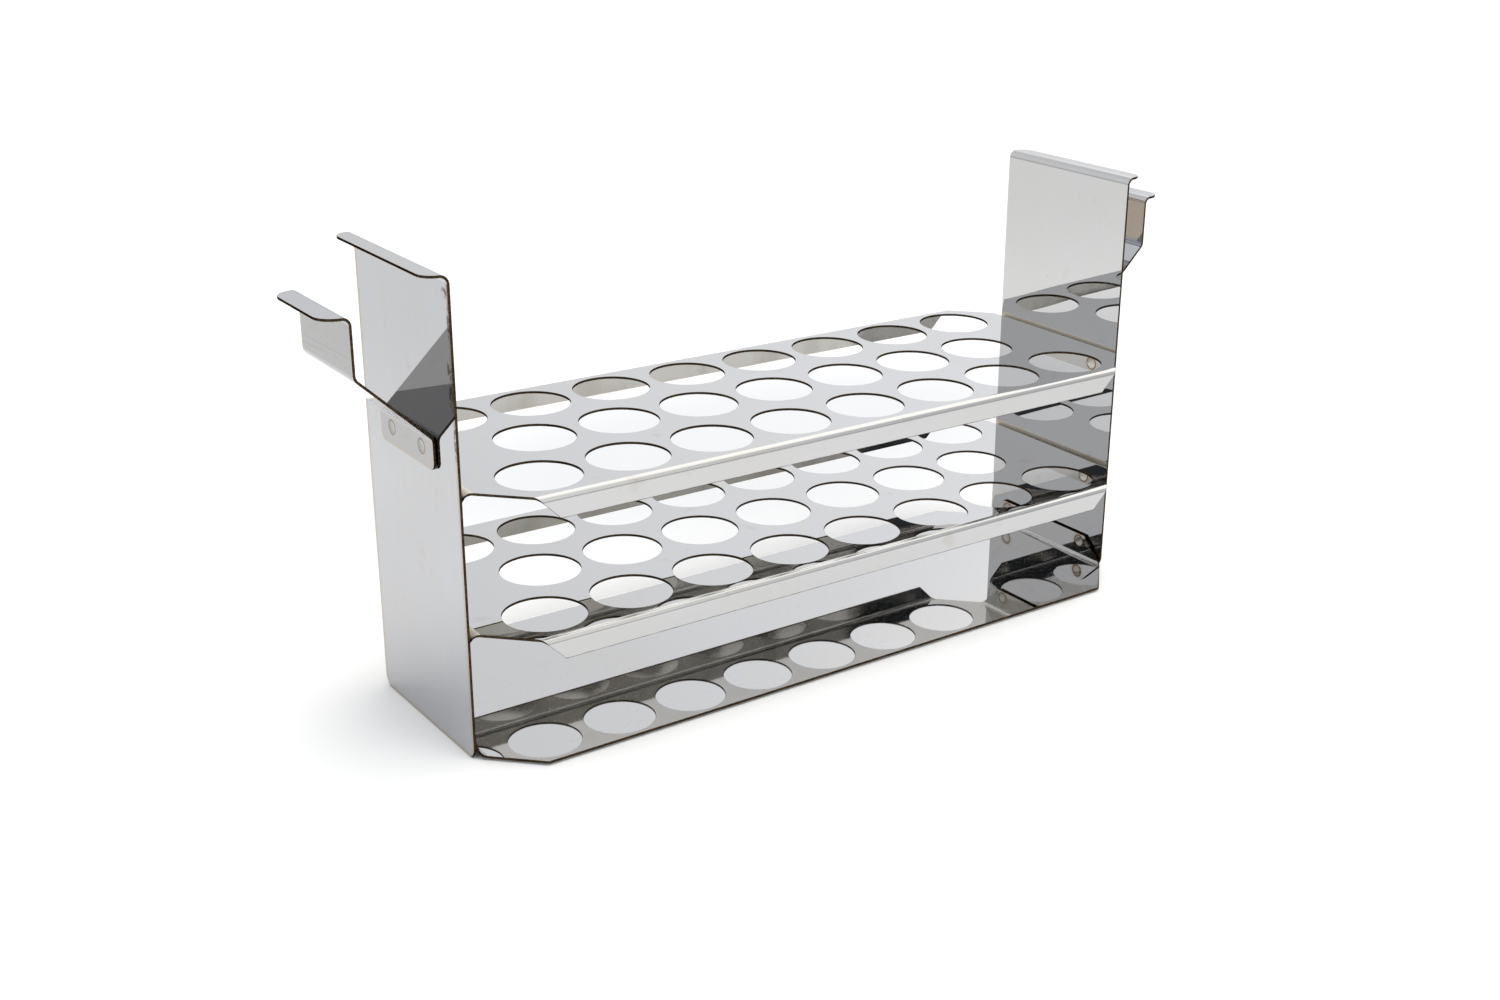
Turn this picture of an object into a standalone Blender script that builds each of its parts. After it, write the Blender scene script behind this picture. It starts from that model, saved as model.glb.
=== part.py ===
"""Test tube rack in folded stainless sheet: two perforated shelves over a plain base plate, between two end plates
that carry welded hook brackets. Metres, +Z up. The origin is under the middle of the rack, on the surface it
stands on, with +X along its length. Every sheet starts as a flat blank and is folded along straight lines."""

from math import cos, pi, radians, sin, tan

import bmesh
import bpy
from mathutils import Vector

OBJECT_NAME = "test_tube_rack"

# Sheet and the clearance between neighbouring pieces
SHEET = 0.0008
GAP = 0.0003
FOLD_STEPS = 4

# Inside radii of the folds
SHELF_FOLD = 0.0013
PLATE_LIP_FOLD = 0.0021
BRACKET_LIP_FOLD = 0.0018
STRUT_FOLD = 0.0026

# Tube holes: three rows, the middle one staggered by half a pitch
TUBE_HOLE_RADIUS = 0.01275
TUBE_PITCH = 0.0297
ROW_PITCH = 0.0304
OUTER_ROW_HOLES = 8
TUBE_HOLE_SIDES = 24

# Levels of the three horizontal sheets, measured to the upper face
BASE_TOP = 0.0016
MIDDLE_TOP = 0.0411
UPPER_TOP = 0.0849

# Shelves and base plate: one blank, a rectangle with its corners cut at 45 degrees
CLEAR_LENGTH = 0.2571
TAB_DROP = 0.0098
FLANGE_DROP = 0.0074
SHELF_FLAT_WIDTH = 0.0904
BASE_WIDTH = 0.0930
CORNER_LINE = 0.1594

# End plates
PLATE_WIDTH = 0.0618
PLATE_TOP = 0.1476
PLATE_LIP = 0.0067
PLATE_FOOT_CORNER = 0.004
PLATE_LIP_CORNER = 0.005

# Hook brackets on the outer faces of the end plates
BRACKET_WIDTH = 0.0356
BRACKET_FOOT = 0.0874
BRACKET_KNEE = 0.0971
BRACKET_TOP = 0.1361
BRACKET_REACH = 0.0219
BRACKET_LIP = 0.0082
STRUT_ANGLE = radians(46)
BRACKET_FOOT_CORNER = 0.0025
BRACKET_LIP_CORNER = 0.006

# Spot welds, made as short plugs through both sheets
WELD_RADIUS = 0.002
WELD_SIDES = 16
TAB_WELD_DEPTH = 0.007
TAB_WELD_SPREAD = 0.0202
BRACKET_WELD_HEIGHT = 0.0930
BRACKET_WELD_SPREAD = 0.010

CORNER_STEPS = 4
MERGE = 1e-6


def clear_scene():
    for obj in list(bpy.data.objects):
        bpy.data.objects.remove(obj, do_unlink=True)


def make_collection():
    collection = bpy.data.collections.new(OBJECT_NAME)
    bpy.context.scene.collection.children.link(collection)
    return collection


def make_material(name, colour, roughness):
    material = bpy.data.materials.new(name)
    material.use_nodes = True
    shader = material.node_tree.nodes["Principled BSDF"]
    shader.inputs["Base Color"].default_value = (*colour, 1.0)
    shader.inputs["Metallic"].default_value = 1.0
    shader.inputs["Roughness"].default_value = roughness
    return material


def circle(centre, radius, sides):
    return [
        (centre[0] + radius * cos(2 * pi * i / sides), centre[1] + radius * sin(2 * pi * i / sides))
        for i in range(sides)
    ]


def rounded_outline(corners):
    """Outline through (x, y, radius) corners, each with a radius turned into an arc tangent to both sides."""
    outline = []
    for i, (x, y, radius) in enumerate(corners):
        corner = Vector((x, y))
        if not radius:
            outline.append((x, y))
            continue
        before = (Vector(corners[i - 1][:2]) - corner).normalized()
        after = (Vector(corners[(i + 1) % len(corners)][:2]) - corner).normalized()
        half = before.angle(after) / 2
        centre = corner + (before + after).normalized() * (radius / sin(half))
        start = corner + before * (radius / tan(half)) - centre
        turn = start.angle_signed(corner + after * (radius / tan(half)) - centre)
        for step in range(CORNER_STEPS + 1):
            angle = -turn * step / CORNER_STEPS
            point = centre + Vector((
                start.x * cos(angle) - start.y * sin(angle),
                start.x * sin(angle) + start.y * cos(angle),
            ))
            outline.append(tuple(point))
    return outline


def flat_blank(name, outline, holes):
    """Closed flat sheet, centred on local z = 0, from an outline and its holes drawn as a filled 2D curve."""
    curve = bpy.data.curves.new(name + "_outline", "CURVE")
    curve.dimensions = "2D"
    curve.fill_mode = "BOTH"
    curve.extrude = SHEET / 2
    for points in [outline] + holes:
        spline = curve.splines.new("POLY")
        spline.points.add(len(points) - 1)
        for point, (x, y) in zip(spline.points, points):
            point.co = (x, y, 0.0, 1.0)
        spline.use_cyclic_u = True
    guide = bpy.data.objects.new(name + "_outline", curve)
    bpy.context.scene.collection.objects.link(guide)
    graph = bpy.context.evaluated_depsgraph_get()
    mesh = bpy.data.meshes.new_from_object(guide.evaluated_get(graph))
    bpy.data.objects.remove(guide, do_unlink=True)
    mesh.name = name
    return mesh


def folded(reach, offset, folds):
    """Where a point of the blank goes: (along, lift), for its distance along the sheet and its offset from
    the middle of the thickness. Each fold is (start, angle, radius at mid-thickness)."""
    along = lift = heading = done = 0.0
    for start, angle, radius in folds:
        if reach <= start:
            break
        along += (start - done) * cos(heading)
        lift += (start - done) * sin(heading)
        side = 1 if angle > 0 else -1
        arc = min(reach - start, abs(angle) * radius)
        along -= side * radius * sin(heading)
        lift += side * radius * cos(heading)
        heading += side * arc / radius
        along += side * radius * sin(heading)
        lift -= side * radius * cos(heading)
        done = start + arc
    along += (reach - done) * cos(heading) - offset * sin(heading)
    lift += (reach - done) * sin(heading) + offset * cos(heading)
    return along, lift


def fold(mesh, axis, side, folds):
    """Folds the blank on one side of its middle. axis is 0 for x and 1 for y, side is 1 or -1."""
    work = bmesh.new()
    work.from_mesh(mesh)
    bmesh.ops.remove_doubles(work, verts=work.verts, dist=MERGE)
    normal = Vector((axis == 0, axis == 1, 0.0))
    for start, angle, radius in folds:
        for step in range(FOLD_STEPS + 1):
            reach = start + abs(angle) * radius * step / FOLD_STEPS
            everything = work.verts[:] + work.edges[:] + work.faces[:]
            bmesh.ops.bisect_plane(
                work, geom=everything, dist=MERGE, plane_co=normal * side * reach, plane_no=normal
            )
    for vert in work.verts:
        reach = side * vert.co[axis]
        if reach > folds[0][0]:
            along, vert.co.z = folded(reach, vert.co.z, folds)
            vert.co[axis] = side * along
    bmesh.ops.recalc_face_normals(work, faces=work.faces)
    work.to_mesh(mesh)
    work.free()


def add_object(name, mesh, material, collection, location, rotation=(0.0, 0.0, 0.0)):
    if not mesh.materials:
        mesh.materials.append(material)
    mesh.shade_smooth()
    mesh.set_sharp_from_angle(angle=radians(35))
    obj = bpy.data.objects.new(name, mesh)
    obj.location = location
    obj.rotation_euler = rotation
    collection.objects.link(obj)
    return obj


def tube_holes():
    """Centres of the tube holes, row by row from the front."""
    centres = []
    for row in (-1, 0, 1):
        count = OUTER_ROW_HOLES if row else OUTER_ROW_HOLES - 1
        for i in range(count):
            centres.append(((i - (count - 1) / 2) * TUBE_PITCH, row * ROW_PITCH))
    return centres


def tab_fold(direction):
    """The fold of an end tab: it starts so that the tab's outer face stays GAP inside the end plate."""
    start = CLEAR_LENGTH / 2 - GAP - SHELF_FOLD - SHEET
    return [(start, direction * pi / 2, SHELF_FOLD + SHEET / 2)]


def unfolded(folds, drop):
    """Length of blank from the middle to the edge of a tab or flange whose edge is `drop` from the outer face."""
    start, angle, radius = folds[0]
    return start + abs(angle) * radius + drop - SHELF_FOLD - SHEET


def chamfered_outline(half_length, half_width):
    """Rectangle whose corners are cut along x + y = CORNER_LINE, counter-clockwise."""
    long_x = CORNER_LINE - half_width
    long_y = CORNER_LINE - half_length
    quarter = [(half_length, long_y), (long_x, half_width)]
    right_half = [(x, -y) for x, y in reversed(quarter)] + quarter
    return right_half + [(-x, -y) for x, y in right_half]


def weld_hole(centre):
    return circle(centre, WELD_RADIUS + GAP, WELD_SIDES)


def tab_weld_holes(tab_folds):
    reach = unfolded(tab_folds, TAB_WELD_DEPTH)
    return [weld_hole((x, y)) for x in (-reach, reach) for y in (-TAB_WELD_SPREAD, TAB_WELD_SPREAD)]


def build_shelf(name, top, material, collection):
    """Perforated shelf: long flanges and end tabs all folded down."""
    tab = tab_fold(-1)
    flange = [(SHELF_FLAT_WIDTH / 2, -pi / 2, SHELF_FOLD + SHEET / 2)]
    outline = chamfered_outline(unfolded(tab, TAB_DROP), unfolded(flange, FLANGE_DROP))
    holes = [circle(centre, TUBE_HOLE_RADIUS, TUBE_HOLE_SIDES) for centre in tube_holes()]
    mesh = flat_blank(name, outline, holes + tab_weld_holes(tab))
    for side in (-1, 1):
        fold(mesh, 0, side, tab)
        fold(mesh, 1, side, flange)
    add_object(name, mesh, material, collection, (0.0, 0.0, top - SHEET / 2))


def build_base_plate(material, collection):
    """Plain plate under the tubes: no holes, no flanges, end tabs folded up."""
    tab = tab_fold(1)
    outline = chamfered_outline(unfolded(tab, TAB_DROP), BASE_WIDTH / 2)
    mesh = flat_blank("base_plate", outline, tab_weld_holes(tab))
    for side in (-1, 1):
        fold(mesh, 0, side, tab)
    add_object("base_plate", mesh, material, collection, (0.0, 0.0, BASE_TOP - SHEET / 2))


def tab_weld_levels():
    """Heights of the welds that join the end tabs of the three horizontal sheets to the end plates."""
    return {
        "upper": UPPER_TOP - TAB_WELD_DEPTH,
        "middle": MIDDLE_TOP - TAB_WELD_DEPTH,
        "base": BASE_TOP - SHEET + TAB_WELD_DEPTH,
    }


def plate_middle():
    """Distance from the rack's middle to the middle of an end plate's thickness."""
    return CLEAR_LENGTH / 2 + SHEET / 2


def bracket_middle():
    return plate_middle() + SHEET + GAP


def upright(side):
    """Rotation that stands a blank up, its local x to +Z and its local z away from the rack's middle."""
    return (0.0, -pi / 2, pi if side > 0 else 0.0)


def build_end_plate(name, side, material, collection):
    """Upright plate with rounded feet and an outward lip along the top."""
    radius = PLATE_LIP_FOLD + SHEET / 2
    start = PLATE_TOP - SHEET / 2 - radius
    height = start + radius * pi / 2 + PLATE_LIP - PLATE_LIP_FOLD
    half = PLATE_WIDTH / 2
    outline = rounded_outline([
        (0.0, -half, PLATE_FOOT_CORNER),
        (height, -half, PLATE_LIP_CORNER),
        (height, half, PLATE_LIP_CORNER),
        (0.0, half, PLATE_FOOT_CORNER),
    ])
    spread = (-TAB_WELD_SPREAD, TAB_WELD_SPREAD)
    holes = [weld_hole((level, y)) for level in tab_weld_levels().values() for y in spread]
    holes += [weld_hole((BRACKET_WELD_HEIGHT, y)) for y in (-BRACKET_WELD_SPREAD, BRACKET_WELD_SPREAD)]
    mesh = flat_blank(name, outline, holes)
    fold(mesh, 0, 1, [(start, pi / 2, radius)])
    add_object(name, mesh, material, collection, (side * plate_middle(), 0.0, 0.0), upright(side))


def build_hook_bracket(name, side, material, collection):
    """Strip welded to the end plate, then a strut outward, an upright stretch and an outward lip."""
    knee = STRUT_FOLD + SHEET / 2
    knee_arc = STRUT_ANGLE * knee
    knee_rise = knee * tan(STRUT_ANGLE / 2)
    strut = BRACKET_REACH / sin(STRUT_ANGLE) - 2 * knee_rise
    lip = BRACKET_LIP_FOLD + SHEET / 2
    first = BRACKET_KNEE - BRACKET_FOOT - knee_rise
    second = first + knee_arc + strut
    upper_knee = BRACKET_KNEE + BRACKET_REACH / tan(STRUT_ANGLE)
    riser = BRACKET_TOP - SHEET / 2 - lip - upper_knee - knee_rise
    third = second + knee_arc + riser
    length = third + lip * pi / 2 + BRACKET_LIP - lip
    half = BRACKET_WIDTH / 2
    outline = rounded_outline([
        (0.0, -half, BRACKET_FOOT_CORNER),
        (length, -half, BRACKET_LIP_CORNER),
        (length, half, BRACKET_LIP_CORNER),
        (0.0, half, BRACKET_FOOT_CORNER),
    ])
    weld_reach = BRACKET_WELD_HEIGHT - BRACKET_FOOT
    holes = [weld_hole((weld_reach, y)) for y in (-BRACKET_WELD_SPREAD, BRACKET_WELD_SPREAD)]
    mesh = flat_blank(name, outline, holes)
    fold(mesh, 0, 1, [(first, STRUT_ANGLE, knee), (second, -STRUT_ANGLE, knee), (third, pi / 2, lip)])
    location = (side * bracket_middle(), 0.0, BRACKET_FOOT)
    add_object(name, mesh, material, collection, location, upright(side))


def make_weld_mesh():
    """Weld plug, its axis along local z, as long as two sheets and the gap between them."""
    work = bmesh.new()
    bmesh.ops.create_cone(
        work,
        cap_ends=True,
        segments=WELD_SIDES,
        radius1=WELD_RADIUS,
        radius2=WELD_RADIUS,
        depth=2 * SHEET + GAP,
    )
    mesh = bpy.data.meshes.new("spot_weld")
    work.to_mesh(mesh)
    work.free()
    return mesh


def build_welds(material, collection):
    mesh = make_weld_mesh()
    tab_x = CLEAR_LENGTH / 2 - GAP / 2
    bracket_x = plate_middle() + (SHEET + GAP) / 2
    seats = [(level, tab_x, z, TAB_WELD_SPREAD) for level, z in tab_weld_levels().items()]
    seats.append(("hook", bracket_x, BRACKET_WELD_HEIGHT, BRACKET_WELD_SPREAD))
    for end, side in (("left", -1), ("right", 1)):
        for level, x, z, spread in seats:
            for place, y in (("front", -spread), ("back", spread)):
                name = f"weld_{end}_{level}_{place}"
                add_object(name, mesh, material, collection, (side * x, y, z), (0.0, pi / 2, 0.0))


def main():
    clear_scene()
    collection = make_collection()
    sheet = make_material("polished_stainless_sheet", (0.78, 0.78, 0.77), 0.12)
    weld = make_material("heat_tinted_weld", (0.62, 0.54, 0.45), 0.3)
    build_shelf("upper_shelf", UPPER_TOP, sheet, collection)
    build_shelf("middle_shelf", MIDDLE_TOP, sheet, collection)
    build_base_plate(sheet, collection)
    for end, side in (("left", -1), ("right", 1)):
        build_end_plate(f"{end}_end_plate", side, sheet, collection)
        build_hook_bracket(f"{end}_hook_bracket", side, sheet, collection)
    build_welds(weld, collection)


main()
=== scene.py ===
"""Looks of the folded-sheet test tube rack: every sheet again at full smoothness, in polished stainless
steel, on a white table under soft studio light. Metres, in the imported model's frame."""

from math import cos, pi, radians, sin, tan

import bmesh
import bpy
import numpy as np
from mathutils import Matrix, Vector


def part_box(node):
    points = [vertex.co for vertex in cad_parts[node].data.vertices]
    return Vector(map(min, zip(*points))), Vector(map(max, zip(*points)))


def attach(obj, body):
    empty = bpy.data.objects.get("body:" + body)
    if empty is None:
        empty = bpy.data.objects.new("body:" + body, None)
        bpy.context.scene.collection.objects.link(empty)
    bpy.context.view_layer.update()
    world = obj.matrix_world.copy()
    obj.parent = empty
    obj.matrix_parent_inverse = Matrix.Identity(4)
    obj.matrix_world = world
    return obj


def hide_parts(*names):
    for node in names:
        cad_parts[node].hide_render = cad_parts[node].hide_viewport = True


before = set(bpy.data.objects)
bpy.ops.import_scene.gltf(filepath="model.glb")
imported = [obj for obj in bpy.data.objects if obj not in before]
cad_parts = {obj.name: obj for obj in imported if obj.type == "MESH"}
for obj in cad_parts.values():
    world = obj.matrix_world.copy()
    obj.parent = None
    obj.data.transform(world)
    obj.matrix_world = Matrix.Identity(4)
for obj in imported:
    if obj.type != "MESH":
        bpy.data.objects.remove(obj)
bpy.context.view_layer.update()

# Sheet metal, as in the CAD
SHEET = 0.0008
GAP = 0.0003
SHELF_FOLD = 0.0013
PLATE_LIP_FOLD = 0.0021
BRACKET_LIP_FOLD = 0.0018
STRUT_FOLD = 0.0026
STRUT_ANGLE = radians(46)
FLANGE_DROP = 0.0074
TUBE_HOLE_RADIUS = 0.01275
TUBE_PITCH = 0.0297
ROW_PITCH = 0.0304
OUTER_ROW_HOLES = 8
CORNER_LINE = 0.1594
PLATE_FOOT_CORNER = 0.004
PLATE_LIP_CORNER = 0.005
BRACKET_FOOT_CORNER = 0.0025
BRACKET_LIP_CORNER = 0.006
BRACKET_KNEE = 0.0971
BRACKET_LIP = 0.0082

# Smoothness of the visual sheets
FOLD_STEPS = 14
HOLE_SIDES = 96
CORNER_STEPS = 10
EDGE_BREAK = 0.00008
EDGE_SLOPE = 0.9
MERGE = 1e-6

# Holes in the sheets for the spot welds
WELD_SEAT_RADIUS = 0.0023
WELD_SEAT_SIDES = 32


def mid(node):
    low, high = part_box(node)
    return (low + high) / 2


UPPER_LOW, UPPER_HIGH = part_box("upper_shelf")
MIDDLE_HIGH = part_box("middle_shelf")[1]
BASE_LOW, BASE_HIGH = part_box("base_plate")
PLATE_LOW, PLATE_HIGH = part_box("right_end_plate")
BRACKET_LOW, BRACKET_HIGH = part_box("right_hook_bracket")
SHELF_START_X = UPPER_HIGH.x - SHELF_FOLD - SHEET
SHELF_START_Y = UPPER_HIGH.y - SHELF_FOLD - SHEET
TAB_DROP = UPPER_HIGH.z - UPPER_LOW.z
PLATE_INNER_X = PLATE_LOW.x
PLATE_MIDDLE_X = PLATE_INNER_X + SHEET / 2
BRACKET_MIDDLE_X = BRACKET_LOW.x + SHEET / 2
BRACKET_RISER_X = BRACKET_HIGH.x - BRACKET_LIP


# ---------------------------------------------------------------- folded sheets

def circle(centre, radius, sides):
    return [
        (centre[0] + radius * cos(2 * pi * i / sides), centre[1] + radius * sin(2 * pi * i / sides))
        for i in range(sides)
    ]


def rounded_outline(corners):
    """Outline through (x, y, radius) corners, each with a radius turned into an arc tangent to both sides."""
    outline = []
    for i, (x, y, radius) in enumerate(corners):
        corner = Vector((x, y))
        if not radius:
            outline.append((x, y))
            continue
        before = (Vector(corners[i - 1][:2]) - corner).normalized()
        after = (Vector(corners[(i + 1) % len(corners)][:2]) - corner).normalized()
        half = before.angle(after) / 2
        centre = corner + (before + after).normalized() * (radius / sin(half))
        start = corner + before * (radius / tan(half)) - centre
        turn = start.angle_signed(corner + after * (radius / tan(half)) - centre)
        for step in range(CORNER_STEPS + 1):
            angle = -turn * step / CORNER_STEPS
            outline.append((
                centre.x + start.x * cos(angle) - start.y * sin(angle),
                centre.y + start.x * sin(angle) + start.y * cos(angle),
            ))
    return outline


def flat_blank(name, outline, holes):
    """Flat sheet centred on z = 0 with its edges slightly broken, as a bmesh."""
    curve = bpy.data.curves.new(name + "_outline", "CURVE")
    curve.dimensions = "2D"
    curve.fill_mode = "BOTH"
    curve.extrude = SHEET / 2 - EDGE_BREAK
    curve.bevel_depth = EDGE_BREAK
    curve.bevel_resolution = 0
    curve.offset = -EDGE_BREAK
    for points in [outline] + holes:
        spline = curve.splines.new("POLY")
        spline.points.add(len(points) - 1)
        for point, (x, y) in zip(spline.points, points):
            point.co = (x, y, 0.0, 1.0)
        spline.use_cyclic_u = True
    guide = bpy.data.objects.new(name + "_outline", curve)
    bpy.context.scene.collection.objects.link(guide)
    graph = bpy.context.evaluated_depsgraph_get()
    mesh = bpy.data.meshes.new_from_object(guide.evaluated_get(graph))
    bpy.data.objects.remove(guide, do_unlink=True)
    work = bmesh.new()
    work.from_mesh(mesh)
    bpy.data.meshes.remove(mesh)
    bmesh.ops.remove_doubles(work, verts=work.verts, dist=MERGE)
    bmesh.ops.recalc_face_normals(work, faces=work.faces)
    return work


def split_at_folds(work, axis, side, folds):
    """Cuts the blank across every fold, in FOLD_STEPS strips, on one side of its middle."""
    normal = Vector((axis == 0, axis == 1, 0.0))
    for start, angle, radius in folds:
        for step in range(FOLD_STEPS + 1):
            reach = start + abs(angle) * radius * step / FOLD_STEPS
            everything = work.verts[:] + work.edges[:] + work.faces[:]
            bmesh.ops.bisect_plane(
                work, geom=everything, dist=MERGE, plane_co=normal * side * reach, plane_no=normal
            )


def folded(reach, offset, folds):
    """Arrays (along, lift, heading, bend) for points of the blank, by distance along it and offset from the
    middle of its thickness. The bend is 1 halfway round a fold and 0 on the flats."""
    along, lift, heading, bend, done = (np.zeros_like(reach) for _ in range(5))
    for start, angle, radius in folds:
        past = reach > start
        side = 1 if angle > 0 else -1
        arc = np.clip(reach - start, 0.0, abs(angle) * radius)
        run = np.where(past, start - done, 0.0)
        turn_done = arc / (abs(angle) * radius)
        bend = np.maximum(bend, 4 * turn_done * (1 - turn_done))
        turned = heading + side * arc / radius
        along += run * np.cos(heading) + side * radius * (np.sin(turned) - np.sin(heading))
        lift += run * np.sin(heading) - side * radius * (np.cos(turned) - np.cos(heading))
        heading = turned
        done = np.where(past, start + arc, done)
    along += (reach - done) * np.cos(heading) - offset * np.sin(heading)
    lift += (reach - done) * np.sin(heading) + offset * np.cos(heading)
    return along, lift, heading, bend


def folded_sheet(name, outline, holes, folds, place, materials):
    """The sheet piece: a flat blank folded as `folds` says, {(axis, side): [(start, angle, radius)]}, then
    placed. It keeps exact normals. The point attribute "blank" says where each point lay on the flat sheet,
    and "bend" is 1 halfway round a fold and 0 on the flats. The materials are those of the blank's upper
    face, its cut edge and its lower face."""
    work = flat_blank(name, outline, holes)
    for (axis, side), steps in folds.items():
        split_at_folds(work, axis, side, steps)
    mesh = bpy.data.meshes.new(name)
    work.to_mesh(mesh)
    work.free()

    blank = np.empty(len(mesh.vertices) * 3, np.float32)
    mesh.vertices.foreach_get("co", blank)
    blank = blank.reshape(-1, 3).astype(float)
    loop_vertex = np.empty(len(mesh.loops), np.int32)
    mesh.loops.foreach_get("vertex_index", loop_vertex)
    face_normal = np.empty(len(mesh.polygons) * 3, np.float32)
    mesh.polygons.foreach_get("normal", face_normal)
    face_normal = face_normal.reshape(-1, 3).astype(float)
    loop_total = np.empty(len(mesh.polygons), np.int32)
    mesh.polygons.foreach_get("loop_total", loop_total)
    normal = np.repeat(face_normal, loop_total, axis=0)

    points, bend = blank.copy(), np.zeros(len(blank))
    for (axis, side), steps in folds.items():
        reach = side * blank[:, axis]
        moved = reach > steps[0][0]
        along, lift, heading, curved = folded(reach, blank[:, 2], steps)
        bend = np.maximum(bend, curved)
        points[moved, axis] = (side * along)[moved]
        points[moved, 2] = lift[moved]
        at_loop = moved[loop_vertex]
        turn = heading[loop_vertex][at_loop]
        out, up = side * normal[at_loop, axis], normal[at_loop, 2].copy()
        normal[at_loop, axis] = side * (out * np.cos(turn) - up * np.sin(turn))
        normal[at_loop, 2] = out * np.sin(turn) + up * np.cos(turn)

    place = np.array(place, float)
    points = points @ place[:3, :3].T + place[:3, 3]
    normal = normal @ place[:3, :3].T
    mesh.vertices.foreach_set("co", points.astype(np.float32).ravel())
    blank_data = mesh.attributes.new("blank", "FLOAT_VECTOR", "POINT").data
    blank_data.foreach_set("vector", blank.astype(np.float32).ravel())
    bend_data = mesh.attributes.new("bend", "FLOAT", "POINT").data
    bend_data.foreach_set("value", bend.astype(np.float32))
    for material in materials:
        mesh.materials.append(material)
    up = face_normal[:, 2]
    material_number = np.where(up > EDGE_SLOPE, 0, np.where(up < -EDGE_SLOPE, 2, 1)).astype(np.int32)
    mesh.polygons.foreach_set("material_index", material_number)
    mesh.polygons.foreach_set("use_smooth", np.ones(len(mesh.polygons), bool))
    mesh.update()
    mesh.normals_split_custom_set(normal)
    return add_piece(name, mesh)


def add_piece(name, mesh):
    piece = bpy.data.objects.new(name + "_visual", mesh)
    bpy.context.scene.collection.objects.link(piece)
    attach(piece, "root")
    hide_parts(name)
    return piece


def tube_holes():
    centres = []
    for row in (-1, 0, 1):
        count = OUTER_ROW_HOLES if row else OUTER_ROW_HOLES - 1
        for i in range(count):
            centres.append(((i - (count - 1) / 2) * TUBE_PITCH, row * ROW_PITCH))
    return centres


def shelf_length(start, drop):
    """Blank length from the middle to the edge of a tab or flange that ends `drop` from the outer face."""
    return start + pi / 2 * (SHELF_FOLD + SHEET / 2) + drop - SHELF_FOLD - SHEET


def chamfered_outline(half_length, half_width):
    long_x = CORNER_LINE - half_width
    long_y = CORNER_LINE - half_length
    quarter = [(half_length, long_y), (long_x, half_width)]
    right_half = [(x, -y) for x, y in reversed(quarter)] + quarter
    return right_half + [(-x, -y) for x, y in right_half]


def weld_spot(side, node_level, place):
    return mid(f"weld_{side}_{node_level}_{place}")


def tab_weld_place():
    """Where the tab welds lie on the flat blank: their distances along and across it from its middle."""
    drop = UPPER_HIGH.z - weld_spot("right", "upper", "front").z
    return shelf_length(SHELF_START_X, drop), weld_spot("right", "upper", "back").y


def weld_seats(along, across):
    return [circle((x, y), WELD_SEAT_RADIUS, WELD_SEAT_SIDES) for x in along for y in (-across, across)]


def tab_weld_seats():
    reach, spread = tab_weld_place()
    return weld_seats((-reach, reach), spread)


def upright(side, x, z):
    turn = Matrix.Rotation(pi if side > 0 else 0.0, 4, "Z") @ Matrix.Rotation(-pi / 2, 4, "Y")
    return Matrix.Translation((side * x, 0.0, z)) @ turn


def lipped_outline(length, half_width, foot_corner, lip_corner):
    """Outline of an upright sheet's blank, from its foot at 0 to the tip of its lip."""
    return rounded_outline([
        (0.0, -half_width, foot_corner), (length, -half_width, lip_corner),
        (length, half_width, lip_corner), (0.0, half_width, foot_corner),
    ])


def build_shelf(name, top, materials):
    radius = SHELF_FOLD + SHEET / 2
    tab, flange = [(SHELF_START_X, -pi / 2, radius)], [(SHELF_START_Y, -pi / 2, radius)]
    half_length = shelf_length(SHELF_START_X, TAB_DROP)
    half_width = shelf_length(SHELF_START_Y, FLANGE_DROP)
    holes = [circle(centre, TUBE_HOLE_RADIUS, HOLE_SIDES) for centre in tube_holes()] + tab_weld_seats()
    folds = {(0, 1): tab, (0, -1): tab, (1, 1): flange, (1, -1): flange}
    place = Matrix.Translation((0, 0, top - SHEET / 2))
    folded_sheet(name, chamfered_outline(half_length, half_width), holes, folds, place, materials)


def build_base(materials):
    tab = [(SHELF_START_X, pi / 2, SHELF_FOLD + SHEET / 2)]
    half_length = shelf_length(SHELF_START_X, BASE_HIGH.z - BASE_LOW.z)
    outline = chamfered_outline(half_length, BASE_HIGH.y)
    place = Matrix.Translation((0, 0, BASE_LOW.z + SHEET / 2))
    folds = {(0, 1): tab, (0, -1): tab}
    folded_sheet("base_plate", outline, tab_weld_seats(), folds, place, materials)


def build_plate(name, side, materials):
    radius = PLATE_LIP_FOLD + SHEET / 2
    start = PLATE_HIGH.z - SHEET / 2 - radius
    height = start + radius * pi / 2 + (PLATE_HIGH.x - PLATE_MIDDLE_X) - radius
    outline = lipped_outline(height, PLATE_HIGH.y, PLATE_FOOT_CORNER, PLATE_LIP_CORNER)
    folds = {(0, 1): [(start, pi / 2, radius)]}
    folded_sheet(name, outline, [], folds, upright(side, PLATE_MIDDLE_X, 0.0), materials)


def bracket_lengths():
    """Distances along the bracket's blank, from its foot: to where its three folds start, and to its end."""
    knee, lip = STRUT_FOLD + SHEET / 2, BRACKET_LIP_FOLD + SHEET / 2
    reach = BRACKET_RISER_X - BRACKET_MIDDLE_X
    knee_rise = knee * tan(STRUT_ANGLE / 2)
    first = BRACKET_KNEE - BRACKET_LOW.z - knee_rise
    second = first + STRUT_ANGLE * knee + reach / sin(STRUT_ANGLE) - 2 * knee_rise
    strut_top = BRACKET_KNEE + reach / tan(STRUT_ANGLE)
    riser = BRACKET_HIGH.z - SHEET / 2 - lip - strut_top - knee_rise
    third = second + STRUT_ANGLE * knee + riser
    return first, second, third, third + lip * pi / 2 + BRACKET_HIGH.x - BRACKET_RISER_X - lip


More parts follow.
